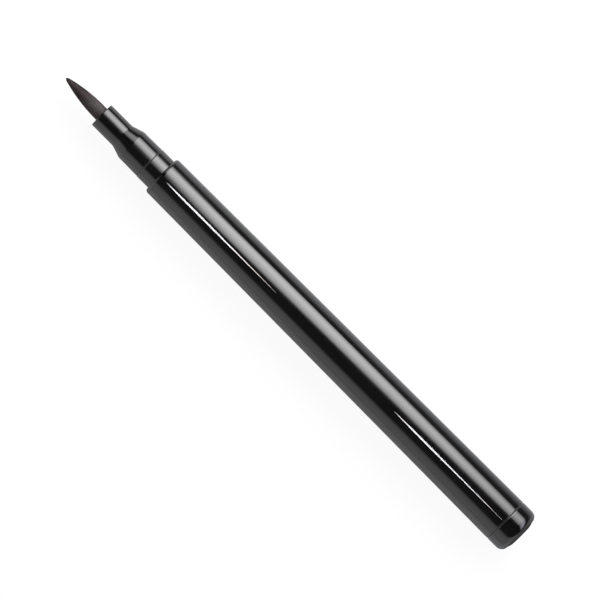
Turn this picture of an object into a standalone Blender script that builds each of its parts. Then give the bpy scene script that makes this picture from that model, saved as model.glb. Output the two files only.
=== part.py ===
"""A liquid eyeliner pen with a brush tip, lying on its side with its cap off.

Every piece is modelled on the pen's own axis. A station is a distance along that axis from the
point of the brush, and an outline is a list of (radius, station) points. The parent empty lays the
pen down, with the brush towards -X and the tapered body's lowest line on the surface.
"""

import math

import bmesh
import bpy
from mathutils import Matrix, Vector

MM = 0.001
FULL_TURN = 2 * math.pi
QUARTER_TURN = math.pi / 2

# Lengths along the outside, from the point of the brush to the tail
brush_showing = 10.3 * MM
nozzle_length = 5.8 * MM
flare_length = 2.9 * MM
collar_length = 4.9 * MM
neck_length = 3.3 * MM
body_length = 98.2 * MM
tail_length = 4.4 * MM
seam_gap = 0.1 * MM
fit_gap = 0.1 * MM

# Brush: tapered filaments, bonded at their back ends to a thin disc
tuft_diameter = 3.07 * MM
taper_length = 8.2 * MM
point_share = 0.06
first_bend_share = 0.39
second_bend_share = 0.79
tip_spread = 0.8 * MM
root_depth = 3.5 * MM
root_disc_thickness = 0.8 * MM
strand_diameter = 0.12 * MM
strand_count = 300
strand_sides = 3
strand_bite = 0.2 * MM
spiral_angle = math.pi * (3 - math.sqrt(5))

# Tube that holds the tuft, and the ring that locks it into the nozzle
ferrule_wall = 0.3 * MM
ferrule_flange_rise = 0.27 * MM
ferrule_flange_thickness = 0.5 * MM
ferrule_overhang = 1.0 * MM
mouth_clearance = 0.15 * MM
mouth_lip = 0.6 * MM
retainer_length = 2.0 * MM

# Wick that carries the liquid to the tuft, and the tube around it
wick_diameter = 1.6 * MM
wick_lead = 0.4 * MM
wick_setback = 0.2 * MM
sleeve_wall = 0.35 * MM
sleeve_gap = 0.05 * MM

# Front section: nozzle, flare, collar, and the spigot that plugs into the neck
nozzle_wall = 0.545 * MM
nozzle_chamfer = 0.25 * MM
flare_rise = 0.82 * MM
flare_ease_share = 0.12
spigot_wall = 0.6 * MM
collar_step = 0.05 * MM
edge_break = 0.12 * MM

# Snap bead and groove, on the front spigot and on the tail
bead_height = 0.15 * MM
bead_width = 1.0 * MM
bead_flat_share = 0.5

# Body: neck, shoulder and tapered shell in one moulding
neck_wall = 0.77 * MM
neck_floor_thickness = 1.0 * MM
shoulder_rise = 0.825 * MM
shoulder_round = 0.65 * MM
round_steps = 5
body_taper_rise = 0.55 * MM
body_wall = 0.9 * MM

# Gasket between the front section and the comb collector
gasket_thickness = 0.6 * MM
gasket_width = 1.7 * MM

# Comb collector: a tube with thin fins, whose gaps take up liquid as the air in the tank expands
collector_tube_wall = 0.6 * MM
socket_depth = 1.0 * MM
front_flange_thickness = 1.6 * MM
rear_flange_thickness = 1.0 * MM
fin_count = 12
fin_pitch = 1.2 * MM
fin_thickness = 0.35 * MM
fin_setback = 0.1 * MM
collector_plug_length = 3.0 * MM
air_notch_width = 0.8 * MM
air_notch_depth = 1.0 * MM
feed_slit_width = 0.3 * MM
feed_slit_reach = 0.9 * MM
cut_overrun = 0.4 * MM
cut_lead_share = 0.25

# Sealing ring on the collector's plug
seal_cord = 0.4 * MM
seal_cord_sides = 8
seal_slack_share = 0.5

# Tank, the plug in its back end and the loose ball that stirs the liquid
tank_length = 48.0 * MM
tank_air_gap = 0.45 * MM
tank_wall = 0.6 * MM
tank_rib_width = 1.2 * MM
tank_rib_setback = 6.0 * MM
tank_plug_depth = 4.0 * MM
tank_plug_head = 0.9 * MM
tank_plug_wall = 0.7 * MM
lip_height = 0.06 * MM
lip_width = 0.8 * MM
lip_spacing = 1.6 * MM
ball_diameter = 3.0 * MM
ball_detail = 3

# Tail: the closing plug at the back of the body
tail_spigot_length = 8.0 * MM
tail_spigot_wall = 0.9 * MM
tail_floor = 1.4 * MM
tail_corner_radius = 1.6 * MM
tail_crown = 0.35 * MM
tail_land_diameter = 4.0 * MM
crown_steps = 3

# Facets round the turned pieces: wide enough that the pen lies still, finer where it is closed in
outer_sides = 32
inner_sides = 20
crease_angle = math.radians(30)
merge_distance = 0.00001 * MM

# Radii, worked out from the tuft outwards
tuft_radius = tuft_diameter / 2
strand_radius = strand_diameter / 2
ferrule_bore_radius = tuft_radius + fit_gap / 2
ferrule_radius = ferrule_bore_radius + ferrule_wall
ferrule_flange_radius = ferrule_radius + ferrule_flange_rise
mouth_radius = tuft_radius + mouth_clearance
holder_bore_radius = ferrule_radius + fit_gap
section_bore_radius = ferrule_flange_radius + fit_gap
nozzle_radius = section_bore_radius + nozzle_wall
collar_front_radius = nozzle_radius + flare_rise
spigot_radius = section_bore_radius + spigot_wall
neck_bore_radius = spigot_radius + fit_gap
neck_radius = neck_bore_radius + neck_wall
collar_rear_radius = neck_radius - collar_step
body_front_radius = neck_radius + shoulder_rise
body_rear_radius = body_front_radius + body_taper_rise
wick_radius = wick_diameter / 2
sleeve_bore_radius = wick_radius + sleeve_gap
sleeve_radius = sleeve_bore_radius + sleeve_wall
wick_bore_radius = wick_radius + fit_gap
collector_tube_radius = wick_bore_radius + collector_tube_wall
ball_radius = ball_diameter / 2

# Stations of the outside
nozzle_front = brush_showing
nozzle_rear = nozzle_front + nozzle_length
collar_front = nozzle_rear + flare_length
collar_rear = collar_front + collar_length
neck_front = collar_rear + seam_gap
shoulder = neck_front + neck_length
body_rear = shoulder + body_length
tail_front = body_rear + seam_gap
tail_rear = tail_front + tail_length

# Stations of the brush and what holds it
root_front = nozzle_front + root_depth
root_rear = root_front + root_disc_thickness
lip_rear = nozzle_front + mouth_lip
ferrule_front = lip_rear + fit_gap
ferrule_rear = root_rear + ferrule_overhang
flange_front = ferrule_rear - ferrule_flange_thickness
flange_seat = flange_front - fit_gap
retainer_front = ferrule_rear + fit_gap
retainer_rear = retainer_front + retainer_length
sleeve_front = root_rear + wick_lead

# Stations of the feed: gasket, collector, tank and tank plug
neck_floor = shoulder + neck_floor_thickness
gasket_front = neck_floor + fit_gap
gasket_rear = gasket_front + gasket_thickness
collector_front = gasket_rear + fit_gap
socket_floor = collector_front + socket_depth
front_flange_rear = collector_front + front_flange_thickness
fins_rear = front_flange_rear + fin_count * fin_pitch
rear_flange_front = fins_rear + fin_pitch - fin_thickness
rear_flange_rear = rear_flange_front + rear_flange_thickness
collector_rear = rear_flange_rear + collector_plug_length
tank_front = rear_flange_rear + fit_gap
tank_rear = tank_front + tank_length
tank_plug_front = tank_rear - tank_plug_depth
tank_head_front = tank_rear + fit_gap

# The tapered body's lowest facet lies level, so the axis climbs a little towards the tail
taper_front = shoulder + shoulder_round
taper_slope = (body_rear_radius - body_front_radius) / (body_rear - taper_front)
axis_pitch = math.atan(taper_slope)
front_drop = taper_front * math.sin(axis_pitch)
axis_height = body_front_radius * math.cos(axis_pitch) - front_drop
axis_start = Vector((-tail_rear / 2, 0, axis_height))


def body_radius(station):
    """Outer radius of the tapered body."""
    return body_front_radius + (station - taper_front) * taper_slope


def bore_radius(station):
    """Radius of the body's bore, which keeps an even wall."""
    return body_radius(station) - body_wall


# Radii that follow the body's bore, from the outside in
gasket_radius = bore_radius(gasket_front) - fit_gap
gasket_bore_radius = gasket_radius - gasket_width
collector_radius = bore_radius(collector_front) - fit_gap
fin_radius = collector_radius - fin_setback
tank_radius = bore_radius(tank_front) - tank_air_gap
tank_bore_radius = tank_radius - tank_wall
collector_plug_radius = tank_bore_radius - fit_gap
seal_floor_radius = collector_plug_radius - seal_cord
seal_middle = (tank_front + collector_rear) / 2
seal_half_width = seal_cord / 2 + fit_gap


def plastic(name, colour, roughness, metallic=0.0):
    """A plain surface for one kind of moulding."""
    material = bpy.data.materials.new(name)
    material.use_nodes = True
    shader = material.node_tree.nodes["Principled BSDF"]
    shader.inputs["Base Color"].default_value = (*colour, 1.0)
    shader.inputs["Roughness"].default_value = roughness
    shader.inputs["Metallic"].default_value = metallic
    return material


def quarter_round(radius, station, size, start, steps):
    """Points of a quarter circle about (radius, station), turning from start by a quarter."""
    points = []
    for step in range(steps + 1):
        angle = start + QUARTER_TURN * step / steps
        points.append(
            (radius + size * math.cos(angle), station + size * math.sin(angle))
        )
    return points


def swell(radius, middle, width, height):
    """Four points of a low ring that stands up from a radius, front to back."""
    half = width / 2
    flat = half * bead_flat_share
    return [
        (radius, middle - half),
        (radius + height, middle - flat),
        (radius + height, middle + flat),
        (radius, middle + half),
    ]


def seat_of_swell(radius, middle, width, height):
    """The groove that a swell snaps into, back to front."""
    return swell(radius, middle, width + 2 * fit_gap, height)[::-1]


def finish(name, form, material):
    """Turn a bmesh into a smooth-shaded object on the pen's axis."""
    bmesh.ops.recalc_face_normals(form, faces=form.faces)
    mesh = bpy.data.meshes.new(name)
    form.to_mesh(mesh)
    form.free()
    mesh.shade_smooth()
    mesh.set_sharp_from_angle(angle=crease_angle)
    mesh.materials.append(material)
    piece = bpy.data.objects.new(name, mesh)
    bpy.context.collection.objects.link(piece)
    piece.parent = pen_axis
    return piece


def turned(name, outline, sides, material):
    """Spin an outline about the axis. Its radii are to the facets, one of which faces down."""
    front = min(station for _, station in outline)
    to_facet = math.cos(math.pi / sides)
    form = bmesh.new()
    points = []
    for radius, station in outline:
        points.append(form.verts.new((radius / to_facet, 0, station - front)))
    pairs = list(zip(points, points[1:]))
    if outline[0][0] > 0:
        pairs.append((points[-1], points[0]))
    edges = [form.edges.new(pair) for pair in pairs]
    bmesh.ops.spin(
        form,
        geom=points + edges,
        cent=(0, 0, 0),
        axis=(0, 0, 1),
        angle=FULL_TURN,
        steps=sides,
        use_merge=True,
    )
    bmesh.ops.remove_doubles(form, verts=form.verts, dist=merge_distance)
    half_step = Matrix.Rotation(math.pi / sides, 3, "Z")
    bmesh.ops.rotate(form, verts=form.verts, cent=(0, 0, 0), matrix=half_step)
    piece = finish(name, form, material)
    piece.location.z = front
    return piece


def block_cutter(name, size, centre):
    """A box that only cuts."""
    form = bmesh.new()
    bmesh.ops.create_cube(form, size=1)
    bmesh.ops.scale(form, verts=form.verts, vec=size)
    cutter = finish(name, form, cutter_look)
    cutter.location = centre
    cutter.hide_render = True
    cutter.display_type = "WIRE"
    return cutter


def combine(piece, other, operation):
    """Join or cut two solids exactly."""
    step = piece.modifiers.new(operation.title(), "BOOLEAN")
    step.operation = operation
    step.solver = "EXACT"
    step.object = other


def tuft_share(distance):
    """Width of the tuft at a distance from its point, as a share of its full width."""
    reach = min(distance / taper_length, 1)
    return point_share + (1 - point_share) * (1 - (1 - reach) ** 2)


def add_strand(form, turn, spread):
    """One filament. It draws in with the whole tuft, so no two filaments meet."""
    tip = tip_spread * spread**2
    bends = (first_bend_share * taper_length, second_bend_share * taper_length)
    rings = []
    for station in (tip, *bends, root_front + strand_bite):
        share = tuft_share(station)
        place = (tuft_radius - strand_radius) * spread * share
        reach = strand_radius * share
        ring = []
        for corner in range(strand_sides):
            angle = turn + FULL_TURN * corner / strand_sides
            down = place * math.cos(turn) + reach * math.cos(angle)
            aside = place * math.sin(turn) + reach * math.sin(angle)
            ring.append(form.verts.new((down, aside, station)))
        rings.append(ring)
    for ring, after in zip(rings, rings[1:]):
        for corner in range(strand_sides):
            beside = (corner + 1) % strand_sides
            form.faces.new((ring[corner], ring[beside], after[beside], after[corner]))
    form.faces.new(rings[0])
    form.faces.new(rings[-1])


def make_bristles():
    """Filaments on a sunflower spiral, fused to the disc at their back ends."""
    form = bmesh.new()
    for strand in range(strand_count):
        spread = math.sqrt((strand + 0.5) / strand_count)
        add_strand(form, strand * spiral_angle, spread)
    strands = finish("strands", form, bristle_look)
    strands.hide_render = True
    strands.display_type = "WIRE"
    disc = [
        (0, root_front),
        (tuft_radius, root_front),
        (tuft_radius, root_rear),
        (0, root_rear),
    ]
    bristles = turned("brush_bristles", disc, outer_sides, bristle_look)
    combine(bristles, strands, "UNION")


def make_ferrule():
    """Thin tube round the tuft, with a flange that stops against a step in the nozzle."""
    outline = [
        (ferrule_bore_radius, ferrule_front),
        (ferrule_radius - edge_break, ferrule_front),
        (ferrule_radius, ferrule_front + edge_break),
        (ferrule_radius, flange_front),
        (ferrule_flange_radius, flange_front),
        (ferrule_flange_radius, ferrule_rear),
        (ferrule_bore_radius, ferrule_rear),
    ]
    turned("brush_ferrule", outline, inner_sides, natural_look)


def make_retainer():
    """Ring pressed in behind the ferrule, which also centres the wick's tube."""
    bore = sleeve_radius + fit_gap
    outline = [
        (bore, retainer_front),
        (ferrule_flange_radius - edge_break, retainer_front),
        (ferrule_flange_radius, retainer_front + edge_break),
        (ferrule_flange_radius, retainer_rear - edge_break),
        (ferrule_flange_radius - edge_break, retainer_rear),
        (bore, retainer_rear),
    ]
    turned("brush_retainer", outline, inner_sides, natural_look)


def make_wick():
    """Fibre rod from the tank to the back of the tuft."""
    front = root_rear + fit_gap
    rear = collector_rear - wick_setback
    outline = [
        (0, front),
        (wick_radius - edge_break, front),
        (wick_radius, front + edge_break),
        (wick_radius, rear - edge_break),
        (wick_radius - edge_break, rear),
        (0, rear),
    ]
    turned("feed_wick", outline, inner_sides, wick_look)


def make_sleeve():
    """Tube that keeps the wick's side closed between the brush and the collector."""
    rear = socket_floor - fit_gap
    outline = [
        (sleeve_bore_radius, sleeve_front),
        (sleeve_radius, sleeve_front),
        (sleeve_radius, rear),
        (sleeve_bore_radius, rear),
    ]
    turned("wick_sleeve", outline, inner_sides, natural_look)


def flare_outline():
    """Straight cone from the nozzle up to the collar, with both ends eased by a short curve."""
    ease = flare_ease_share
    points = []
    for share in (0, ease / 2, ease, 1 - ease, 1 - ease / 2, 1):
        if share < ease:
            rise = share**2 / (2 * ease * (1 - ease))
        elif share > 1 - ease:
            rise = 1 - (1 - share) ** 2 / (2 * ease * (1 - ease))
        else:
            rise = (share - ease / 2) / (1 - ease)
        points.append(
            (nozzle_radius + flare_rise * rise, nozzle_rear + flare_length * share)
        )
    return points


def make_front_section():
    """Nozzle, flare, collar and spigot, stepped inside so that the brush loads from the back."""
    spigot_rear = neck_floor - fit_gap
    bead_middle = (neck_front + neck_floor) / 2
    outside = [
        (mouth_radius, nozzle_front),
        (nozzle_radius - nozzle_chamfer, nozzle_front),
        (nozzle_radius, nozzle_front + nozzle_chamfer),
        *flare_outline(),
        (collar_rear_radius, collar_rear - edge_break),
        (collar_rear_radius - edge_break, collar_rear),
        (spigot_radius, collar_rear),
        *swell(spigot_radius, bead_middle, bead_width, bead_height),
        (spigot_radius, spigot_rear - edge_break),
        (spigot_radius - edge_break, spigot_rear),
    ]
    inside = [
        (section_bore_radius, spigot_rear),
        (section_bore_radius, flange_seat),
        (holder_bore_radius, flange_seat),
        (holder_bore_radius, lip_rear),
        (mouth_radius, lip_rear),
    ]
    turned("front_section", outside + inside, outer_sides, shell_look)


def make_barrel():
    """Neck for the cap, rounded shoulder and long tapered shell with an even wall."""
    front_bead = (neck_front + neck_floor) / 2
    rear_bead = body_rear - tail_spigot_length / 2
    outside = [
        (neck_bore_radius, neck_front),
        (neck_radius - edge_break, neck_front),
        (neck_radius, neck_front + edge_break),
        (neck_radius, shoulder),
    ]
    centre = body_front_radius - shoulder_round
    outside += quarter_round(
        centre, taper_front, shoulder_round, -QUARTER_TURN, round_steps
    )
    outside.append((body_rear_radius, body_rear))
    inside = [
        (bore_radius(body_rear), body_rear),
        *seat_of_swell(bore_radius(rear_bead), rear_bead, bead_width, bead_height),
        (bore_radius(neck_floor), neck_floor),
        (neck_bore_radius, neck_floor),
        *seat_of_swell(neck_bore_radius, front_bead, bead_width, bead_height),
    ]
    turned("barrel", outside + inside, outer_sides, shell_look)


def make_gasket():
    """Soft washer that the collector presses against the neck's floor."""
    outline = [
        (gasket_bore_radius, gasket_front),
        (gasket_radius, gasket_front),
        (gasket_radius, gasket_rear),
        (gasket_bore_radius, gasket_rear),
    ]
    turned("section_gasket", outline, inner_sides, rubber_look)


def fin_outline():
    """Outer line of the comb, fin after fin along the collector's tube."""
    points = []
    for fin in range(fin_count):
        rear = front_flange_rear + (fin + 1) * fin_pitch
        front = rear - fin_thickness
        points += [
            (collector_tube_radius, front),
            (fin_radius, front),
            (fin_radius, rear),
            (collector_tube_radius, rear),
        ]
    return points


def make_collector():
    """Comb of fins on the wick's tube, with an air notch above and a feed slit below."""
    outside = [
        (sleeve_radius + fit_gap, collector_front),
        (collector_radius, collector_front),
        (collector_radius, front_flange_rear),
        (collector_tube_radius, front_flange_rear),
        *fin_outline(),
        (collector_tube_radius, rear_flange_front),
        (collector_radius, rear_flange_front),
        (collector_radius, rear_flange_rear),
        (collector_plug_radius, rear_flange_rear),
        (collector_plug_radius, seal_middle - seal_half_width),
        (seal_floor_radius, seal_middle - seal_half_width),
        (seal_floor_radius, seal_middle + seal_half_width),
        (collector_plug_radius, seal_middle + seal_half_width),
        (collector_plug_radius, collector_rear - edge_break),
        (collector_plug_radius - edge_break, collector_rear),
    ]
    inside = [
        (wick_bore_radius, collector_rear),
        (wick_bore_radius, socket_floor),
        (sleeve_radius + fit_gap, socket_floor),
    ]
    collector = turned("collector", outside + inside, inner_sides, collector_look)

    notch_front = collector_front - cut_overrun
    notch_floor = collector_radius - air_notch_depth
    notch_size = (
        air_notch_depth + cut_overrun,
        air_notch_width,
        fins_rear + fin_pitch * cut_lead_share - notch_front,
    )
    notch_centre = (
        -notch_floor - notch_size[0] / 2,
        0,
        notch_front + notch_size[2] / 2,
    )
    notch = block_cutter("air_notch", notch_size, notch_centre)
    combine(collector, notch, "DIFFERENCE")

    slit_floor = wick_bore_radius - cut_overrun
    slit_top = collector_tube_radius + feed_slit_reach
    slit_size = (slit_top - slit_floor, feed_slit_width, fins_rear - front_flange_rear)
    slit_centre = (
        slit_floor + slit_size[0] / 2,
        0,
        front_flange_rear + fin_pitch * cut_lead_share + slit_size[2] / 2,
    )
    slit = block_cutter("feed_slit", slit_size, slit_centre)
    combine(collector, slit, "DIFFERENCE")


def make_collector_seal():
    """Round sealing ring in the groove of the collector's plug."""
    cord_radius = seal_cord / 2
    centre = seal_floor_radius + fit_gap * seal_slack_share + cord_radius
    outline = []
    for corner in range(seal_cord_sides):
        angle = FULL_TURN * (corner + 0.5) / seal_cord_sides
        outline.append(
            (
                centre + cord_radius * math.cos(angle),
                seal_middle + cord_radius * math.sin(angle),
            )
        )
    turned("collector_seal", outline, inner_sides, rubber_look)


def make_tank():
    """Inner tube that holds the liquid, centred in the body by a flange and a rib."""
    rib_middle = tank_rear - tank_rib_setback
    rib_radius = bore_radius(rib_middle - tank_rib_width) - fit_gap
    outline = [
        (tank_bore_radius, tank_front),
        (collector_radius, tank_front),
        (collector_radius, tank_front + tank_wall),
        (tank_radius, tank_front + tank_wall),
        *swell(tank_radius, rib_middle, tank_rib_width, rib_radius - tank_radius),
        (tank_radius, tank_rear),
        (tank_bore_radius, tank_rear),
    ]
    turned("ink_tank", outline, inner_sides, tank_look)


def make_tank_plug():
    """Cup-shaped stopper with two sealing lips, pressed in after filling."""
    radius = tank_bore_radius - fit_gap
    hollow = radius - tank_plug_wall
    head_rear = tank_head_front + tank_plug_head
    first_lip = tank_plug_front + lip_width
    second_lip = first_lip + lip_spacing
    outline = [
        (0, tank_plug_front),
        (radius - edge_break, tank_plug_front),
        (radius, tank_plug_front + edge_break),
        *swell(radius, first_lip, lip_width, lip_height),
        *swell(radius, second_lip, lip_width, lip_height),
        (radius, tank_head_front),
        (tank_radius, tank_head_front),
        (tank_radius, head_rear),
        (hollow, head_rear),
        (hollow, tank_plug_front + tank_plug_wall),
        (0, tank_plug_front + tank_plug_wall),
    ]
    turned("tank_plug", outline, inner_sides, natural_look)


def make_mixing_ball():
    """Steel ball, loose in the tank. It lies at the front end, where the tank is lowest."""
    form = bmesh.new()
    bmesh.ops.create_icosphere(form, subdivisions=ball_detail, radius=ball_radius)
    ball = finish("mixing_ball", form, steel_look)
    drop = tank_bore_radius - fit_gap - ball_radius
    ball.location = (drop, 0, collector_rear + fit_gap + ball_radius)


def make_end_plug():
    """Tail with a crowned face and a soft corner, on a hollow spigot with a snap bead."""
    spigot_front = body_rear - tail_spigot_length
    bead_middle = body_rear - tail_spigot_length / 2
    land = tail_land_diameter / 2
    corner_radius = body_rear_radius - tail_corner_radius
    corner_station = tail_rear - tail_crown - tail_corner_radius
    corner = quarter_round(
        corner_radius, corner_station, tail_corner_radius, 0, round_steps
    )
    crown = []
    for step in range(1, crown_steps):
        share = step / crown_steps
        radius = land + (corner_radius - land) * share
        crown.append((radius, tail_rear - tail_crown * share**2))
    outside = [
        (bore_radius(tail_front) - fit_gap, tail_front),
        (body_rear_radius - edge_break, tail_front),
        (body_rear_radius, tail_front + edge_break),
        *corner,
        *crown[::-1],
        (land, tail_rear),
        (0, tail_rear),
    ]
    hollow = bore_radius(spigot_front) - fit_gap - tail_spigot_wall
    bead = swell(
        bore_radius(bead_middle) - fit_gap, bead_middle, bead_width, bead_height
    )
    inside = [
        (0, tail_rear - tail_floor),
        (hollow, tail_rear - tail_floor),
        (hollow, spigot_front),
        (bore_radius(spigot_front) - fit_gap - edge_break, spigot_front),
        (bore_radius(spigot_front) - fit_gap, spigot_front + edge_break),
        *bead,
    ]
    turned("end_plug", inside + outside, outer_sides, shell_look)


for leftover in list(bpy.data.objects):
    bpy.data.objects.remove(leftover, do_unlink=True)

pen_axis = bpy.data.objects.new("pen_axis", None)
bpy.context.collection.objects.link(pen_axis)
pen_axis.location = axis_start
pen_axis.rotation_euler = (0, QUARTER_TURN - axis_pitch, 0)

shell_look = plastic("gloss_black_plastic", (0.004, 0.004, 0.0045), 0.16)
bristle_look = plastic("dark_filament", (0.043, 0.037, 0.037), 0.5)
natural_look = plastic("natural_polypropylene", (0.78, 0.78, 0.75), 0.4)
wick_look = plastic("white_fibre", (0.86, 0.85, 0.82), 0.9)
collector_look = plastic("white_abs", (0.82, 0.82, 0.8), 0.3)
tank_look = plastic("clear_polypropylene", (0.7, 0.72, 0.72), 0.2)
rubber_look = plastic("black_rubber", (0.02, 0.02, 0.02), 0.7)
steel_look = plastic("stainless_steel", (0.62, 0.61, 0.6), 0.18, 1.0)
cutter_look = plastic("cutter", (0.8, 0.2, 0.1), 0.5)

make_bristles()
make_ferrule()
make_retainer()
make_wick()
make_sleeve()
make_front_section()
make_barrel()
make_gasket()
make_collector()
make_collector_seal()
make_tank()
make_tank_plug()
make_mixing_ball()
make_end_plug()
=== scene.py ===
"""Looks of a liquid eyeliner pen with a brush tip, lying with its cap off on a white floor.

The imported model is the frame. The three black mouldings are turned again with fine edges, the
brush gets its single filaments, two thin printed lines run along the body, and every piece gets
a material of its own. Lengths are in metres and repeat those of the frame. A station is a
distance along the pen's axis from the point of the brush, and an outline is a list of (radius,
station) points.
"""

import math
import random

import bmesh
import bpy
from mathutils import Euler, Matrix, Vector


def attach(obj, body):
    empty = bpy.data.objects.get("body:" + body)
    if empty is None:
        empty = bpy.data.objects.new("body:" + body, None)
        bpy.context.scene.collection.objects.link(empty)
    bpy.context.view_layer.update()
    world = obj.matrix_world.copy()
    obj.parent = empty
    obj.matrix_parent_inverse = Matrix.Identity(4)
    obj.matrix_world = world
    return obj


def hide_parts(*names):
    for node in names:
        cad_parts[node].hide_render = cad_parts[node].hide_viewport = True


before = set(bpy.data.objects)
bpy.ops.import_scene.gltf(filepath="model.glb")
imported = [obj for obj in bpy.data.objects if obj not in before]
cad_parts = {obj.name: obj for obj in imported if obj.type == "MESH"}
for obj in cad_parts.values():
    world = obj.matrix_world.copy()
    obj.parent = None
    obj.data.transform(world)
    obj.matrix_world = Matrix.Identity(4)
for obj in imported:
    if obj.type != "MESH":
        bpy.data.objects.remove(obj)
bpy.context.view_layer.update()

MM = 0.001
FULL_TURN = 2 * math.pi
QUARTER_TURN = math.pi / 2

# Stations of the outside
nozzle_front = 10.3 * MM
nozzle_rear = 16.1 * MM
collar_front = 19.0 * MM
collar_rear = 23.9 * MM
neck_front = 24.0 * MM
shoulder = 27.3 * MM
taper_front = 27.95 * MM
body_rear = 125.5 * MM
tail_front = 125.6 * MM
tail_rear = 130.0 * MM

# Stations inside
lip_rear = 10.9 * MM
flange_seat = 15.0 * MM
neck_floor = 28.3 * MM
spigot_rear = 28.2 * MM
tail_spigot_front = 117.5 * MM

# Radii
mouth_radius = 1.685 * MM
holder_bore = 1.985 * MM
section_bore = 2.255 * MM
nozzle_radius = 2.8 * MM
collar_front_radius = 3.62 * MM
collar_rear_radius = 3.675 * MM
spigot_radius = 2.855 * MM
neck_bore = 2.955 * MM
neck_radius = 3.725 * MM
body_front_radius = 4.55 * MM
body_rear_radius = 5.1 * MM
tail_land_radius = 2.0 * MM

# Walls and gaps
body_wall = 0.9 * MM
tail_spigot_wall = 0.9 * MM
tail_floor = 1.4 * MM
fit_gap = 0.1 * MM

# Edges
nozzle_edge = 0.18 * MM
seam_edge = 0.11 * MM
tail_seam_edge = 0.16 * MM
seam_closing = 0.03 * MM
shoulder_round = 0.65 * MM
tail_corner = 1.6 * MM
tail_crown = 0.35 * MM
cone_ease_share = 0.12

# How finely the mouldings are turned
turned_sides = 128
edge_steps = 6
cone_ease_steps = 5
shoulder_steps = 14
body_rings = 12
corner_steps = 18
crown_steps = 8
support_reach = 0.08 * MM
shortest_straight = 4 * support_reach
merge_distance = 0.00001 * MM
crease_angle = math.radians(30)

# How the pen lies
taper_slope = (body_rear_radius - body_front_radius) / (body_rear - taper_front)
axis_pitch = math.atan(taper_slope)
front_drop = taper_front * math.sin(axis_pitch)
axis_height = body_front_radius * math.cos(axis_pitch) - front_drop
pen_start = Matrix.Translation((-tail_rear / 2, 0, axis_height))
pen_place = pen_start @ Euler((0, QUARTER_TURN - axis_pitch, 0)).to_matrix().to_4x4()

# Brush
tuft_radius = 1.6 * MM
taper_length = 9.4 * MM
point_share = 0.17
tuft_bend = 0.17 * MM
bend_power = 0.7
root_front = 13.8 * MM
root_rear = 14.6 * MM
root_bite = 0.1 * MM
brush_front = -tail_rear / 2
brush_middle = 5 * MM
brush_height = axis_height + brush_middle * math.sin(axis_pitch)

# Filaments. Those near the outside end further back. Widths are shares of the full radius
filament_seed = 7
filament_count = 1100
filament_radius = 0.045 * MM
point_width = 0.12
width_growth = 1.6
narrow_width = 0.35
filament_sides = 5
filament_rings = 11
ring_crowding = 1.35
spiral_angle = math.pi * (3 - math.sqrt(5))
first_tip_mm = 0.01
outer_tip_lag_mm = 0.45
tip_scatter_mm = 0.4
wave_height_mm = 0.012
wave_run = 9
twist = 0.05
twist_run = 5

# Heart of packed filaments
heart_front = 0.7 * MM
heart_share = 0.93
heart_steps = 24
heart_sides = 32
heart_tone = 0.1

# Printed lines, as (station, width) points in mm. They swell quickly and thin out slowly
line_lean = math.radians(4.4)
line_height = 0.006 * MM
line_bite = 0.001 * MM
line_steps = 8
front_widths = [
    (29.2, 0.02), (29.9, 0.08), (31.1, 0.22), (32.3, 0.3), (37.0, 0.37),
    (43.0, 0.33), (48.0, 0.24), (53.0, 0.14), (56.5, 0.065), (60.5, 0.015),
]
rear_widths = [
    (94.2, 0.02), (95.6, 0.1), (97.6, 0.18), (99.2, 0.29), (104.0, 0.34),
    (110.5, 0.25), (117.0, 0.15), (120.2, 0.09), (122.0, 0.045), (125.3, 0.02),
]

# Black plastic: its tones, the dust on it, and how near to a seam a painted highlight makes it
# paler
black_tones = ((0.0028, 0.0028, 0.003), (0.0042, 0.0041, 0.0043))
dust_colour = (0.3, 0.29, 0.28, 1)
dust_share = 0.12
seam_highlight_colour = (0.034, 0.033, 0.0325, 1)
seam_highlight_near = 0.12 * MM
seam_highlight_far = 0.26 * MM

# Filaments: their tones at the point and at the root, and where they turn paler.
# The paler root is painted light: a painted highlight near the root and lifted shade at the
# mouth
tip_tones = ((0.038, 0.0245, 0.026), (0.052, 0.0345, 0.036))
lit_root_tones = ((0.07, 0.0585, 0.057), (0.095, 0.08, 0.078))
root_light_front = brush_front + 4 * MM
root_light_rear = brush_front + 8 * MM
whole_tuft_share = 0.68
forward_lean = -0.35

# Floor: its glow for the eye, its paper, and how much of the paper's shadow the eye gets
floor_size = 6
eye_glow = 1.03
paper_white = 0.8
shadow_share = 0.09

# Where the floor's painted reflection narrows and dims, as (from, to, value there, value there)
paper_narrowing = (0.0, 0.06, 1, 1.45)
rear_dimming = (-0.005, 0.05, 1, 0.78)
light_side_start = (-0.004, 0.008, 0, 1)
beside_pen_start = (0.004, 0.011, 0, 1)

# Painted reflection: the paper that reflections see, as (place, brightness) points, and its own
# faint painted glow
painted_reflection_levels = [
    (-0.04, 0.72), (-0.02, 0.66), (0.0, 0.74), (0.02, 0.8),
    (0.045, 0.42), (0.1, 0.06), (0.12, 0.05),
]
painted_glow_levels = [
    (-0.04, 0.28), (-0.02, 0.22), (0.0, 0.16), (0.02, 0.1), (0.05, 0.0), (0.06, 0.0),
]
# Painted shadow: the reflected floor goes darkest close behind the tail
painted_tail_shadow_levels = [
    (0.06, 1.0), (0.0625, 1.0), (0.066, 0.14), (0.07, 0.16),
    (0.08, 0.5), (0.11, 0.5), (0.2, 0.2),
]

# Softbox: its place, its outline, the line along it where it is brightest, and its tints
softbox_lean = math.radians(45.5)
softbox_away = 0.5
softbox_front = -1.0
softbox_rear = 1.5
softbox_low = -0.44
softbox_high = 0.4
softbox_middle = 0.03
softbox_strength = 10.0
softbox_tint = (1.0, 1.0, 1.0)
softbox_rear_tint = (0.86, 0.86, 1.0)
rear_tint_start = (0.07, 0.25, 0, 1)

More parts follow.
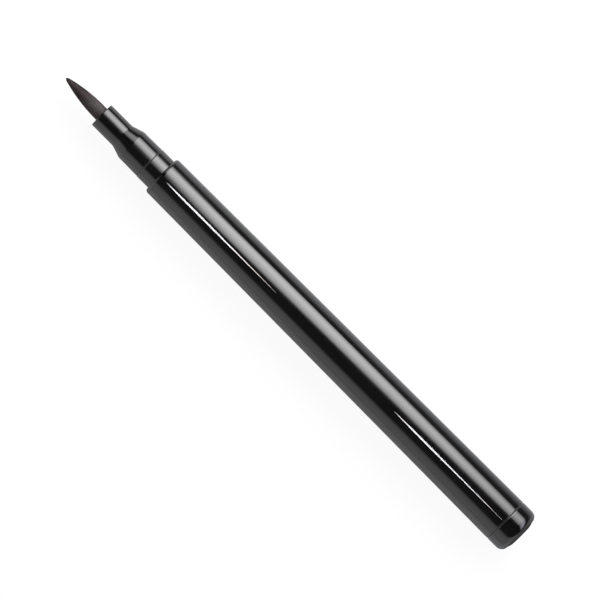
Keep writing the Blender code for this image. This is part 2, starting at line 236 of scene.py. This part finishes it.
# How far it reaches to either side of that line, along the pen
upper_reach_levels = [
    (-0.12, 0.6), (-0.0625, 0.7), (-0.058, 0.64), (-0.0545, 0.62), (-0.0488, 1.5),
    (-0.0474, 1.38), (-0.0464, 1.17), (-0.0436, 1.14), (-0.04, 1.17), (-0.036, 1.12),
    (-0.0255, 1.05), (-0.0157, 0.975), (-0.002, 0.885), (0.015, 0.81), (0.0245, 0.745),
    (0.0342, 0.7), (0.0447, 0.6), (0.0511, 0.53), (0.12, 0.5),
]
lower_reach_levels = [
    (-0.12, 0.8), (-0.0625, 1.08), (-0.056, 0.97), (-0.05, 0.66), (-0.048, 0.6),
    (-0.0462, 0.66), (-0.0436, 0.68), (-0.04, 0.66), (-0.034, 0.72), (-0.02, 0.77),
    (-0.01, 0.835), (0.0, 0.86), (0.015, 0.83), (0.034, 0.88), (0.0447, 0.93),
    (0.052, 0.76), (0.12, 0.7),
]

# Its brightness across, with the reach taken out, and along the pen
across_levels = [
    (-0.42, 0.0), (-0.39, 0.04), (-0.345, 0.32), (-0.28, 0.55), (-0.22, 0.67),
    (-0.17, 0.75), (-0.125, 0.84), (-0.08, 0.92), (-0.03, 0.98), (0.02, 1.0),
    (0.07, 0.97), (0.12, 0.86), (0.175, 0.7), (0.24, 0.5), (0.27, 0.3),
    (0.3, 0.0), (0.36, 0.0),
]
along_levels = [
    (-1.0, 0.1), (-0.45, 0.4), (-0.15, 0.43), (-0.09, 0.78), (-0.06, 0.88),
    (-0.053, 0.92), (-0.0488, 1.1), (-0.046, 1.0), (-0.035, 1.0), (-0.01, 1.0),
    (0.01, 0.96), (0.03, 0.89), (0.045, 0.82), (0.057, 0.67), (0.066, 0.56),
    (0.1, 0.5), (0.55, 0.5), (1.5, 0.1),
]

# Room: brightness of the wall by the sine of the height, where it meets the dark ceiling
wall_levels = [
    (0.0, 1.1), (0.34, 1.05), (0.53, 0.98), (0.6, 0.8),
    (0.65, 0.55), (0.69, 0.28), (0.735, 0.07), (1.0, 0.05),
]
far_wall_start = (-0.1, 0.3, 1.0, 0.12)
least_radius = 0.001

# Camera. Its distance keeps the size that the pen has from near_distance through near_lens
camera_lens = 800
camera_sensor = 36
near_lens = 300
near_distance = 1.007
camera_roll = math.radians(45.12)
camera_aim = Vector((-0.06 * MM, 2.0 * MM, 4.75 * MM))


def body_radius(station):
    """Outer radius of the tapered body."""
    return body_front_radius + (station - taper_front) * taper_slope


# Shader helpers


def new_material(name):
    """A node material, its tree and its main shader."""
    material = bpy.data.materials.new(name)
    material.use_nodes = True
    tree = material.node_tree
    return material, tree, tree.nodes["Principled BSDF"]


def new_glow_material(name):
    """A node material without its main shader, and its tree."""
    material, tree, shader = new_material(name)
    tree.nodes.remove(shader)
    return material, tree


def show(tree, surface):
    """Make a shader the surface of its material."""
    tree.links.new(surface, tree.nodes["Material Output"].inputs["Surface"])


def feed(tree, socket, value):
    """Link a socket, or set its value."""
    if isinstance(value, bpy.types.NodeSocket):
        tree.links.new(value, socket)
    else:
        socket.default_value = value


def add_node(tree, kind, settings=None, **inputs):
    """A node with its settings and inputs, whose names have _ for a space."""
    made = tree.nodes.new(kind)
    for name, value in (settings or {}).items():
        setattr(made, name, value)
    for name, value in inputs.items():
        feed(tree, made.inputs[name.replace("_", " ")], value)
    return made


def calculate(tree, operation, first, second=0.0):
    """One sum on two numbers."""
    made = add_node(tree, "ShaderNodeMath", {"operation": operation})
    feed(tree, made.inputs[0], first)
    feed(tree, made.inputs[1], second)
    return made.outputs[0]


def calculate_vector(tree, operation, first, second=None):
    """One sum on two vectors, or on one. A dot product gives a number."""
    made = add_node(tree, "ShaderNodeVectorMath", {"operation": operation})
    feed(tree, made.inputs[0], first)
    if second is not None:
        feed(tree, made.inputs[1], second)
    return made.outputs["Value" if operation == "DOT_PRODUCT" else "Vector"]


def ranged(tree, value, low, high, new_low, new_high, smooth=False):
    """Carry a value from one range to another."""
    made = add_node(
        tree,
        "ShaderNodeMapRange",
        {"interpolation_type": "SMOOTHSTEP" if smooth else "LINEAR"},
        Value=value,
    )
    for place, number in zip((1, 2, 3, 4), (low, high, new_low, new_high)):
        feed(tree, made.inputs[place], number)
    return made.outputs[0]


def blend(tree, kind, share, first, second):
    """A FLOAT, VECTOR or RGBA between two, by a share from 0 to 1."""
    made = add_node(tree, "ShaderNodeMix", {"data_type": kind})
    sockets = {"FLOAT": (2, 3, 0), "VECTOR": (4, 5, 1), "RGBA": (6, 7, 2)}
    from_first, from_second, result = sockets[kind]
    feed(tree, made.inputs[0], share)
    feed(tree, made.inputs[from_first], first)
    feed(tree, made.inputs[from_second], second)
    return made.outputs[result]


def two_tones(tree, share, first, second):
    """A colour between two, by a share from 0 to 1."""
    return blend(tree, "RGBA", share, (*first, 1), (*second, 1))


def blend_shaders(tree, share, first, second):
    """A shader between two, by a share from 0 to 1."""
    made = add_node(tree, "ShaderNodeMixShader", Fac=share)
    tree.links.new(first, made.inputs[1])
    tree.links.new(second, made.inputs[2])
    return made.outputs[0]


def own_place(tree):
    """Where a point lies in its piece's own coordinates."""
    return add_node(tree, "ShaderNodeTexCoord").outputs["Object"]


def split_axes(tree, vector):
    """The X, Y and Z of a vector."""
    return add_node(tree, "ShaderNodeSeparateXYZ", Vector=vector).outputs


def grain(tree, scale, detail=2.0, stretch=(1, 1, 1), turn=(0, 0, 0)):
    """Noise in the piece's own coordinates. A stretch below 1 draws it out along that axis."""
    mapping = add_node(
        tree, "ShaderNodeMapping", Vector=own_place(tree), Rotation=turn, Scale=stretch
    )
    noise = add_node(
        tree,
        "ShaderNodeTexNoise",
        Vector=mapping.outputs["Vector"],
        Scale=scale,
        Detail=detail,
        Roughness=0.5,
    )
    return noise.outputs[0]


def bumped(tree, height, distance, strength, under=None):
    """A bump, on top of another where one is given."""
    made = add_node(
        tree, "ShaderNodeBump", Height=height, Distance=distance, Strength=strength
    )
    if under is not None:
        tree.links.new(under, made.inputs["Normal"])
    return made.outputs["Normal"]


def by_eye(tree, path):
    """1 for rays from the camera, also through clear pieces, and 0 for all others."""
    return calculate(
        tree,
        "MAXIMUM",
        path.outputs["Is Camera Ray"],
        path.outputs["Is Transmission Ray"],
    )


def make_ramp(tree, value, levels):
    """A brightness that follows a value, from (value, brightness) points joined by straights."""
    low, high = levels[0][0], levels[-1][0]
    ramp = add_node(
        tree, "ShaderNodeValToRGB", Fac=ranged(tree, value, low, high, 0, 1)
    )
    ramp.color_ramp.interpolation = "LINEAR"
    stops = ramp.color_ramp.elements
    for number, (place, level) in enumerate(levels):
        if number == 0:
            stop = stops[0]
        elif number == len(levels) - 1:
            stop = stops[len(stops) - 1]
        else:
            stop = stops.new((place - low) / (high - low))
        stop.color = (level, level, level, 1)
    return ramp.outputs["Color"]


# Materials


def make_grained(name, noise, tones, roughness, bump, tone_span=(0.3, 0.7), others=None):
    """A material whose colour, roughness and height follow one noise.

    The noise is given by the arguments of grain, and the bump by its depth, its strength and,
    where it has a noise of its own, the arguments of that one. Others are further settings of
    the shader, by their names.
    """
    material, tree, shader = new_material(name)
    share = grain(tree, *noise)
    depth, strength, *own_noise = bump
    height = grain(tree, *own_noise) if own_noise else share
    colour = two_tones(tree, ranged(tree, share, *tone_span, 0, 1), *tones)
    feed(tree, shader.inputs["Base Color"], colour)
    feed(tree, shader.inputs["Roughness"], ranged(tree, share, 0.3, 0.7, *roughness))
    feed(tree, shader.inputs["Normal"], bumped(tree, height, depth, strength))
    for setting, value in (others or {}).items():
        shader.inputs[setting].default_value = value
    return material


def make_gloss_black():
    """Deep black moulded plastic: polished, with a faint ripple, handling marks and some dust.

    The edges of both seams are a little duller, and painted a little paler as a painted
    highlight.
    """
    material, tree, shader = new_material("gloss_black")
    cloud = grain(tree, 90, 3)
    streak = grain(tree, 900, 3, (0.03, 1, 1))
    black = two_tones(tree, ranged(tree, cloud, 0.35, 0.65, 0, 1), *black_tones)
    specks = ranged(tree, grain(tree, 5200, 1), 0.735, 0.775, 0, 1)
    dust = calculate(tree, "MULTIPLY", specks, dust_share)
    dusty_black = blend(tree, "RGBA", dust, black, dust_colour)
    # Painted highlight: near both seams the colour is painted paler, and the same mask makes
    # them rougher
    rearward = Vector((math.cos(axis_pitch), 0, math.sin(axis_pitch)))
    along = calculate_vector(tree, "DOT_PRODUCT", own_place(tree), rearward)
    station = calculate(tree, "SUBTRACT", along, rearward.dot(pen_place.translation))
    from_seams = []
    for seam in ((collar_rear + neck_front) / 2, (body_rear + tail_front) / 2):
        offset = calculate(tree, "SUBTRACT", station, seam)
        from_seams.append(calculate(tree, "ABSOLUTE", offset))
    from_seam = calculate(tree, "MINIMUM", *from_seams)
    seam_highlight_mask = calculate(
        tree,
        "MULTIPLY",
        ranged(tree, from_seam, seam_highlight_near, seam_highlight_far, 1, 0, True),
        ranged(tree, grain(tree, 1600, 2), 0.3, 0.6, 0.6, 1),
    )
    colour = blend(tree, "RGBA", seam_highlight_mask, dusty_black, seam_highlight_colour)
    feed(tree, shader.inputs["Base Color"], colour)
    scratches = grain(tree, 700, 2, (0.06, 1, 1), (0, 0.1, 0.25))
    marks = ranged(tree, scratches, 0.66, 0.7, 0, 1)
    rough = ranged(tree, streak, 0.3, 0.7, 0.105, 0.15)
    for rougher in (
        ranged(tree, cloud, 0.3, 0.7, -0.012, 0.012),
        calculate(tree, "MULTIPLY", marks, 0.03),
        calculate(tree, "MULTIPLY", seam_highlight_mask, 0.12),
    ):
        rough = calculate(tree, "ADD", rough, rougher)
    feed(tree, shader.inputs["Roughness"], rough)
    ripple = bumped(tree, grain(tree, 420, 2), 0.00004, 0.02)
    feed(tree, shader.inputs["Normal"], bumped(tree, streak, 0.000004, 0.12, ripple))
    shader.inputs["IOR"].default_value = 1.58
    return material


def make_filament():
    """Dark brown filaments that lie together and shine as one, painted paler at the root as
    painted light.
    """
    material, tree, shader = new_material("dark_filament")
    tone = add_node(tree, "ShaderNodeAttribute", {"attribute_name": "tone"})
    along = grain(tree, 1500, 3, (0.1, 1, 1))
    share = calculate(
        tree,
        "ADD",
        calculate(tree, "MULTIPLY", tone.outputs["Fac"], 0.5),
        ranged(tree, along, 0.3, 0.7, 0, 0.5),
    )
    place = own_place(tree)
    along_x = split_axes(tree, place)["X"]
    # Painted light: towards the root the tone is painted paler, a painted highlight that also
    # lifts the shade at the mouth
    tip_colour = two_tones(tree, share, *tip_tones)
    lit_root_colour = two_tones(tree, share, *lit_root_tones)
    root_light_share = ranged(tree, along_x, root_light_front, root_light_rear, 0, 1, True)
    colour = blend(tree, "RGBA", root_light_share, tip_colour, lit_root_colour)
    feed(tree, shader.inputs["Base Color"], colour)
    feed(tree, shader.inputs["Roughness"], ranged(tree, along, 0.3, 0.7, 0.54, 0.66))
    shader.inputs["IOR"].default_value = 1.32
    shader.inputs["Sheen Weight"].default_value = 0.16
    shader.inputs["Sheen Roughness"].default_value = 0.35
    # The normal lies between that of a filament and that of the whole tuft
    from_axis = calculate_vector(tree, "SUBTRACT", place, (0, 0, brush_height))
    across = calculate_vector(tree, "MULTIPLY", from_axis, (0, 1, 1))
    outward = calculate_vector(tree, "NORMALIZE", across)
    taper_rear = brush_front + taper_length
    lean = ranged(tree, along_x, brush_front, taper_rear, forward_lean, 0)
    forward = add_node(tree, "ShaderNodeCombineXYZ", X=lean).outputs[0]
    leaning = calculate_vector(tree, "ADD", outward, forward)
    fine = bumped(tree, along, 0.00001, 0.15)
    between = blend(tree, "VECTOR", whole_tuft_share, fine, leaning)
    feed(tree, shader.inputs["Normal"], calculate_vector(tree, "NORMALIZE", between))
    return material


def make_white_ink():
    """Thin white print with a faint grain."""
    return make_grained(
        "white_ink",
        (6000, 3),
        ((0.86, 0.86, 0.86), (0.93, 0.93, 0.93)),
        (0.35, 0.5),
        (0.000002, 0.2),
        tone_span=(0.35, 0.65),
    )


def make_natural_plastic():
    """Unpigmented moulded plastic: milky, with flow marks."""
    return make_grained(
        "natural_plastic",
        (350, 3, (0.2, 1, 1)),
        ((0.72, 0.72, 0.68), (0.83, 0.83, 0.8)),
        (0.34, 0.48),
        (0.00001, 0.2),
        others={"Subsurface Weight": 0.3, "Subsurface Radius": (0.0012, 0.0011, 0.001)},
    )


def make_white_fibre():
    """Bundled fibres of the wick, all along its length."""
    return make_grained(
        "white_fibre",
        (9000, 3, (0.02, 1, 1)),
        ((0.66, 0.65, 0.62), (0.9, 0.89, 0.86)),
        (0.8, 0.95),
        (0.00004, 0.6),
        others={"Sheen Weight": 0.2},
    )


def make_white_moulding():
    """White styrene plastic of the comb, half glossy, with a fine mould texture."""
    return make_grained(
        "white_moulding",
        (260, 3),
        ((0.77, 0.77, 0.74), (0.85, 0.85, 0.83)),
        (0.26, 0.36),
        (0.000006, 0.2, 7000, 2),
    )


def make_clear_plastic():
    """Clear moulded plastic of the tank, slightly hazy."""
    return make_grained(
        "clear_plastic",
        (300, 3, (0.15, 1, 1)),
        ((0.66, 0.69, 0.7), (0.76, 0.78, 0.78)),
        (0.16, 0.3),
        (0.00002, 0.1),
        others={"Transmission Weight": 0.6, "IOR": 1.49},
    )


def make_rubber():
    """Matt black rubber with a fine grain."""
    return make_grained(
        "matt_rubber",
        (8000, 3),
        ((0.014, 0.014, 0.014), (0.028, 0.028, 0.027)),
        (0.62, 0.8),
        (0.00001, 0.3),
    )


def make_steel():
    """Tumbled steel of the ball, with fine scuffs."""
    return make_grained(
        "tumbled_steel",
        (4000, 4, (0.3, 1, 1), (0.5, 0.4, 0)),
        ((0.56, 0.55, 0.54), (0.67, 0.66, 0.65)),
        (0.14, 0.3),
        (0.000004, 0.2),
        others={"Metallic": 1.0},
    )


# Shapes


def add_object(name, data):
    """A new object in the scene."""
    made = bpy.data.objects.new(name, data)
    bpy.context.scene.collection.objects.link(made)
    return made


def round_edge(radius, station, size, start, steps=edge_steps):
    """Points of a quarter circle about (radius, station)."""
    points = []
    for step in range(steps + 1):
        angle = start + QUARTER_TURN * step / steps
        points.append(
            (radius + size * math.cos(angle), station + size * math.sin(angle))
        )
    return points


def support(outline):
    """Add a point near both ends of each long straight, so that shading keeps it straight."""
    points = []
    for place, start in enumerate(outline):
        end = outline[(place + 1) % len(outline)]
        points.append(start)
        length = math.dist(start, end)
        if length > shortest_straight:
            for share in (support_reach / length, 1 - support_reach / length):
                points.append(
                    tuple(a + (b - a) * share for a, b in zip(start, end))
                )
    return points


def skin(form, rings, capped=True):
    """Faces between neighbouring rings of points, and over both ends if it is capped.

    All rings are equally long. One that lies on the axis repeats a single point.
    """
    if capped:
        form.faces.new(rings[0])
    for earlier, ring in zip(rings, rings[1:]):
        for corner in range(len(ring)):
            beside = (corner + 1) % len(ring)
            face = []
            for point in (earlier[corner], earlier[beside], ring[beside], ring[corner]):
                if point not in face:
                    face.append(point)
            form.faces.new(face)
    if capped:
        form.faces.new(rings[-1])


def finish_piece(name, form, material):
    """Lay a bmesh made along the pen's own axis where the pen lies, as a piece of the pen."""
    bmesh.ops.recalc_face_normals(form, faces=form.faces)
    mesh = bpy.data.meshes.new(name)
    form.to_mesh(mesh)
    form.free()
    mesh.transform(pen_place)
    mesh.shade_smooth()
    mesh.set_sharp_from_angle(angle=crease_angle)
    mesh.materials.append(material)
    piece = add_object(name, mesh)
    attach(piece, "pen")
    return piece


def turned(name, outline, material):
    """Spin an outline about the pen's axis. One that starts on the axis also ends there."""
    form = bmesh.new()
    points = [form.verts.new((radius, 0, station)) for radius, station in outline]
    pairs = list(zip(points, points[1:]))
    if outline[0][0] > 0:
        pairs.append((points[-1], points[0]))
    edges = [form.edges.new(pair) for pair in pairs]
    bmesh.ops.spin(
        form,
        geom=points + edges,
        cent=(0, 0, 0),
        axis=(0, 0, 1),
        angle=FULL_TURN,
        steps=turned_sides,
        use_merge=True,
    )
    bmesh.ops.remove_doubles(form, verts=form.verts, dist=merge_distance)
    return finish_piece(name, form, material)


def make_front_section(material):
    """Nozzle with a rounded rim, short cone with eased ends, collar and spigot in the neck."""
    rim = round_edge(
        nozzle_radius - nozzle_edge,
        nozzle_front + nozzle_edge,
        nozzle_edge,
        -QUARTER_TURN,
    )
    cone = []
    ease = cone_ease_share
    shares = [ease * step / cone_ease_steps for step in range(cone_ease_steps + 1)]
    for share in shares + [1 - share for share in reversed(shares)]:
        if share < ease:
            rise = share**2 / (2 * ease * (1 - ease))
        elif share > 1 - ease:
            rise = 1 - (1 - share) ** 2 / (2 * ease * (1 - ease))
        else:
            rise = (share - ease / 2) / (1 - ease)
        cone.append(
            (
                nozzle_radius + (collar_front_radius - nozzle_radius) * rise,
                nozzle_rear + (collar_front - nozzle_rear) * share,
            )
        )
    collar_end = collar_rear + seam_closing
    collar_edge = round_edge(
        collar_rear_radius - seam_edge, collar_end - seam_edge, seam_edge, 0
    )
    outline = [
        (mouth_radius, nozzle_front),
        *rim,
        *cone,
        *collar_edge,
        (spigot_radius, collar_end),
        (spigot_radius, spigot_rear),
        (section_bore, spigot_rear),
        (section_bore, flange_seat),
        (holder_bore, flange_seat),
        (holder_bore, lip_rear),
        (mouth_radius, lip_rear),
    ]
    piece = turned(
        "nozzle_and_collar", support(outline), material
    )
    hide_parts("front_section")


def make_body(material):
    """Neck, rounded shoulder and long tapered shell."""
    neck_start = neck_front - seam_closing
    neck_edge = round_edge(
        neck_radius - seam_edge, neck_start + seam_edge, seam_edge, -QUARTER_TURN
    )
    shoulder_arc = round_edge(
        body_front_radius - shoulder_round,
        taper_front,
        shoulder_round,
        -QUARTER_TURN,
        shoulder_steps,
    )
    rings = []
    for ring in range(1, body_rings):
        station = taper_front + (body_rear - taper_front) * ring / body_rings
        rings.append((body_radius(station), station))
    body_end = body_rear + seam_closing
    edge_start = body_end - tail_seam_edge
    rear_edge = round_edge(
        body_radius(edge_start) - tail_seam_edge, edge_start, tail_seam_edge, 0
    )
    outline = [
        (neck_bore, neck_start),
        *neck_edge,
        (neck_radius, shoulder),
        *shoulder_arc,
        *rings,
        *rear_edge,
        (body_rear_radius - body_wall, body_end),
        (body_radius(neck_floor) - body_wall, neck_floor),
        (neck_bore, neck_floor),
    ]
    piece = turned("body_shell", support(outline), material)
    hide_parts("barrel")


def make_tail(material):
    """Tail with a soft corner and a slightly crowned face, on a hollow spigot."""
    spigot_rear_radius = body_rear_radius - body_wall - fit_gap
    spigot_front_radius = body_radius(tail_spigot_front) - body_wall - fit_gap
    hollow_radius = spigot_front_radius - tail_spigot_wall
    hollow_rear = tail_rear - tail_floor
    corner_radius = body_rear_radius - tail_corner
    corner = round_edge(
        corner_radius, tail_rear - tail_crown - tail_corner, tail_corner, 0, corner_steps
    )
    crown = []
    for step in range(1, crown_steps):
        share = step / crown_steps
        crown.append(
            (
                tail_land_radius + (corner_radius - tail_land_radius) * share,
                tail_rear - tail_crown * share**2,
            )
        )
    tail_start = tail_front - seam_closing
    front_edge = round_edge(
        body_rear_radius - tail_seam_edge,
        tail_start + tail_seam_edge,
        tail_seam_edge,
        -QUARTER_TURN,
    )
    outline = [
        (0, hollow_rear),
        (hollow_radius, hollow_rear),
        (hollow_radius, tail_spigot_front),
        (spigot_front_radius, tail_spigot_front),
        (spigot_rear_radius, tail_start),
        *front_edge,
        *corner,
        *crown[::-1],
        (tail_land_radius, tail_rear),
        (0, tail_rear),
    ]
    closed = support(outline)
    last = closed.index((0, tail_rear))
    piece = turned("tail_cap", closed[: last + 1], material)
    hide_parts("end_plug")


def tuft_share(distance):
    """Width of the tuft at a distance from its point, as a share of its full width."""
    reach = min(max(distance, 0) / taper_length, 1)
    return point_share + (1 - point_share) * (1 - (1 - reach) ** 2)


def tuft_side(station):
    """How far the tuft bends to one side, from its root to its point."""
    return tuft_bend * (1 - min(max(station, 0) / root_front, 1)) ** bend_power


def add_filaments(form, tone):
    """Fine tapered filaments on a sunflower spiral that all draw in to the point."""
    rng = random.Random(filament_seed)
    for number in range(filament_count):
        spread = math.sqrt((number + 0.5) / filament_count)
        turn = number * spiral_angle
        shade = rng.random()
        scatter = tip_scatter_mm * rng.random() * spread
        tip = (first_tip_mm + outer_tip_lag_mm * spread**3 + scatter) * MM
        wave = rng.uniform(-1, 1) * wave_height_mm * MM
        phase = rng.uniform(0, FULL_TURN)
        rings = []
        for step in range(filament_rings):
            along = (step / (filament_rings - 1)) ** ring_crowding
            station = tip + (root_front + root_bite - tip) * along
            share = tuft_share(station)
            middle = (tuft_radius - filament_radius) * spread * share
            middle += wave * math.sin(phase + wave_run * along) * share
            middle = max(middle, 0)
            growth = min(point_width + width_growth * along, 1)
            slimming = narrow_width + (1 - narrow_width) * share
            width = filament_radius * growth * slimming
            drift = turn + twist * math.sin(phase + twist_run * along)
            ring = []
            for corner in range(filament_sides):
                angle = drift + FULL_TURN * corner / filament_sides
                x = middle * math.cos(drift) + width * math.cos(angle)
                y = middle * math.sin(drift) + width * math.sin(angle)
                point = form.verts.new((x, y + tuft_side(station), station))
                point[tone] = shade
                ring.append(point)
            rings.append(ring)
        skin(form, rings)


def add_heart(form, tone):
    """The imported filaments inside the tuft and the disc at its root, as one solid form."""
    outline = []
    for step in range(heart_steps + 1):
        station = heart_front + (root_front - heart_front) * step / heart_steps
        outline.append((tuft_radius * tuft_share(station) * heart_share, station))
    outline.insert(0, (0, outline[0][1]))
    outline += [(tuft_radius, root_front), (tuft_radius, root_rear), (0, root_rear)]
    rings = []
    for radius, station in outline:
        ring = []
        for corner in range(1 if radius == 0 else heart_sides):
            angle = FULL_TURN * corner / heart_sides
            x = radius * math.cos(angle)
            y = radius * math.sin(angle) + tuft_side(station)
            point = form.verts.new((x, y, station))
            point[tone] = heart_tone
            ring.append(point)
        if radius == 0:
            ring *= heart_sides
        rings.append(ring)
    skin(form, rings, capped=False)


def make_tuft(material):
    """Tapered filaments over a solid heart of packed ones."""
    form = bmesh.new()
    tone = form.verts.layers.float.new("tone")
    add_filaments(form, tone)
    add_heart(form, tone)
    piece = finish_piece("brush_tuft", form, material)
    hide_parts("brush_bristles")


def make_line(name, widths, material):
    """A thin line printed along the body, near its top, from (station, width) points."""
    form = bmesh.new()
    rings = []
    for (start, start_width), (end, end_width) in zip(widths, widths[1:]):
        for step in range(1 if rings else 0, line_steps + 1):
            share = step / line_steps
            station = (start + (end - start) * share) * MM
            width = (start_width + (end_width - start_width) * share) * MM
            radius = body_radius(station)
            ring = []
            for height, side in ((0, -1), (line_height, -1), (line_height, 1), (0, 1)):
                angle = math.pi + line_lean + side * width / 2 / radius
                reach = radius + height - line_bite
                ring.append(
                    form.verts.new(
                        (reach * math.cos(angle), reach * math.sin(angle), station)
                    )
                )
            rings.append(ring)
    skin(form, rings)
    finish_piece(name, form, material)


gloss_black = make_gloss_black()
make_front_section(gloss_black)
make_body(gloss_black)
make_tail(gloss_black)
make_tuft(make_filament())
white_ink = make_white_ink()
make_line("front_line", front_widths, white_ink)
make_line("rear_line", rear_widths, white_ink)

natural_plastic = make_natural_plastic()
looks = {
    "brush_ferrule": natural_plastic,
    "brush_retainer": natural_plastic,
    "wick_sleeve": natural_plastic,
    "tank_plug": natural_plastic,
    "feed_wick": make_white_fibre(),
    "collector": make_white_moulding(),
    "ink_tank": make_clear_plastic(),
    "mixing_ball": make_steel(),
}
rubber = make_rubber()
looks["section_gasket"] = rubber
looks["collector_seal"] = rubber
for node_name, look in looks.items():
    cad_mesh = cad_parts[node_name].data
    cad_mesh.materials.clear()
    cad_mesh.materials.append(look)


# Stage: white floor, a long soft light on one side, a pale room with a dark ceiling


def turned_to(right, up):
    """The turn that lays local X along one direction and local Y along another."""
    return Matrix((right, up, right.cross(up))).transposed().to_4x4()


def make_floor():
    """White with the pen's shadow for the eye, and white paper for the light.

    In reflections it is a painted reflection: paper with a faint painted glow that gets darker
    away from the pen on the light's side, and a painted shadow darkest close behind the tail.
    """
    bpy.ops.mesh.primitive_plane_add(size=floor_size)
    floor = bpy.context.object
    floor.name = "floor"
    material, tree = new_glow_material("white_floor")
    white = (1, 1, 1, 1)
    glow = add_node(tree, "ShaderNodeEmission", Color=white, Strength=eye_glow)
    grey = (paper_white, paper_white, paper_white, 1)
    paper = add_node(tree, "ShaderNodeBsdfDiffuse", Color=grey)
    seen = blend_shaders(tree, shadow_share, glow.outputs[0], paper.outputs[0])
    # Painted reflection: the floor as the pen reflects it is painted darker in places, with a
    # painted glow and a painted shadow behind the tail
    place = split_axes(tree, own_place(tree))
    narrowing = ranged(tree, place["X"], *paper_narrowing)
    aside = calculate(tree, "MULTIPLY", place["Y"], narrowing)
    shade = make_ramp(tree, aside, painted_reflection_levels)
    lift = make_ramp(tree, place["Y"], painted_glow_levels)
    rearward = ranged(tree, place["X"], *rear_dimming)
    light_side = ranged(tree, place["Y"], *light_side_start)
    dimming = blend(tree, "FLOAT", light_side, 1.0, rearward)
    behind = make_ramp(tree, place["X"], painted_tail_shadow_levels)
    offset = calculate(tree, "ABSOLUTE", place["Y"])
    beside = ranged(tree, offset, *beside_pen_start, True)
    darkness = blend(tree, "FLOAT", beside, behind, 1.0)
    factor = calculate(tree, "MULTIPLY", dimming, darkness)
    shade = calculate(tree, "MULTIPLY", shade, factor)
    lift = calculate(tree, "MULTIPLY", lift, factor)
    mirrored_paper = add_node(tree, "ShaderNodeBsdfDiffuse", Color=shade)
    mirrored_glow = add_node(tree, "ShaderNodeEmission", Color=white, Strength=lift)
    mirrored = add_node(tree, "ShaderNodeAddShader")
    tree.links.new(mirrored_paper.outputs[0], mirrored.inputs[0])
    tree.links.new(mirrored_glow.outputs[0], mirrored.inputs[1])
    path = add_node(tree, "ShaderNodeLightPath")
    plain = blend_shaders(tree, by_eye(tree, path), paper.outputs[0], seen)
    in_gloss = path.outputs["Is Glossy Ray"]
    show(tree, blend_shaders(tree, in_gloss, plain, mirrored.outputs[0]))
    floor.data.materials.append(material)


def make_softbox():
    """A long soft light beside the pen. Its two long edges run in and out along the pen.

    Local Y runs from the end near the ceiling down to the end near the floor.
    """
    corners = [
        (softbox_front, softbox_low, 0),
        (softbox_rear, softbox_low, 0),
        (softbox_rear, softbox_high, 0),
        (softbox_front, softbox_high, 0),
    ]
    mesh = bpy.data.meshes.new("softbox")
    mesh.from_pydata(corners, [], [(0, 1, 2, 3)])
    softbox = add_object("softbox", mesh)
    outward = Vector((0, math.sin(softbox_lean), math.cos(softbox_lean)))
    down = Vector((0, math.cos(softbox_lean), -math.sin(softbox_lean)))
    middle = Matrix.Translation(outward * softbox_away)
    softbox.matrix_world = middle @ turned_to(Vector((1, 0, 0)), down)
    material, tree = new_glow_material("softbox_glow")
    place = split_axes(tree, own_place(tree))
    from_middle = calculate(tree, "SUBTRACT", place["Y"], softbox_middle)
    reach = blend(
        tree,
        "FLOAT",
        calculate(tree, "GREATER_THAN", from_middle, 0.0),
        make_ramp(tree, place["X"], upper_reach_levels),
        make_ramp(tree, place["X"], lower_reach_levels),
    )
    spread = calculate(tree, "DIVIDE", from_middle, reach)
    across = make_ramp(tree, spread, across_levels)
    lengthwise = make_ramp(tree, place["X"], along_levels)
    brightness = calculate(tree, "MULTIPLY", across, lengthwise)
    strength = calculate(tree, "MULTIPLY", brightness, softbox_strength)
    rear_share = ranged(tree, place["X"], *rear_tint_start)
    tint = two_tones(tree, rear_share, softbox_tint, softbox_rear_tint)
    glow = add_node(tree, "ShaderNodeEmission", Color=tint, Strength=strength)
    show(tree, glow.outputs[0])
    mesh.materials.append(material)
    softbox.visible_camera = False
    softbox.visible_shadow = False


def make_room():
    """Pale wall on one side, dark ceiling and far wall, and plain white for the eye.

    Every part of the room is a strip along the pen, so only the turn about its axis counts.
    """
    world = bpy.data.worlds.new("room")
    bpy.context.scene.world = world
    world.use_nodes = True
    tree = world.node_tree
    background = tree.nodes["Background"]
    direction = add_node(tree, "ShaderNodeTexCoord").outputs["Generated"]
    axes = split_axes(tree, direction)
    squares = [calculate(tree, "MULTIPLY", axes[name], axes[name]) for name in "YZ"]
    radius = calculate(tree, "SQRT", calculate(tree, "ADD", *squares))
    radius = calculate(tree, "MAXIMUM", radius, least_radius)
    up = calculate(tree, "DIVIDE", axes["Z"], radius)
    side = calculate(tree, "DIVIDE", axes["Y"], radius)
    wall = make_ramp(tree, up, wall_levels)
    share = ranged(tree, side, *far_wall_start, True)
    shaded = calculate(tree, "MULTIPLY", wall, share)
    path = add_node(tree, "ShaderNodeLightPath")
    level = blend(tree, "FLOAT", by_eye(tree, path), shaded, 1.0)
    background.inputs["Color"].default_value = (1, 1, 1, 1)
    feed(tree, background.inputs["Strength"], level)


def make_camera():
    """Long lens, straight above, turned so that the pen runs down to the right."""
    data = bpy.data.cameras.new("camera")
    data.lens = camera_lens
    data.sensor_width = camera_sensor
    data.clip_start = 0.01
    data.clip_end = 20
    camera = add_object("camera", data)
    right = Vector((math.cos(camera_roll), math.sin(camera_roll), 0))
    up = Vector((-math.sin(camera_roll), math.cos(camera_roll), 0))
    distance = near_distance * camera_lens / near_lens
    place = Matrix.Translation(camera_aim + Vector((0, 0, distance)))
    camera.matrix_world = place @ turned_to(right, up)
    bpy.context.scene.camera = camera


make_floor()
make_softbox()
make_room()
make_camera()
bpy.context.scene.view_settings.view_transform = "Standard"
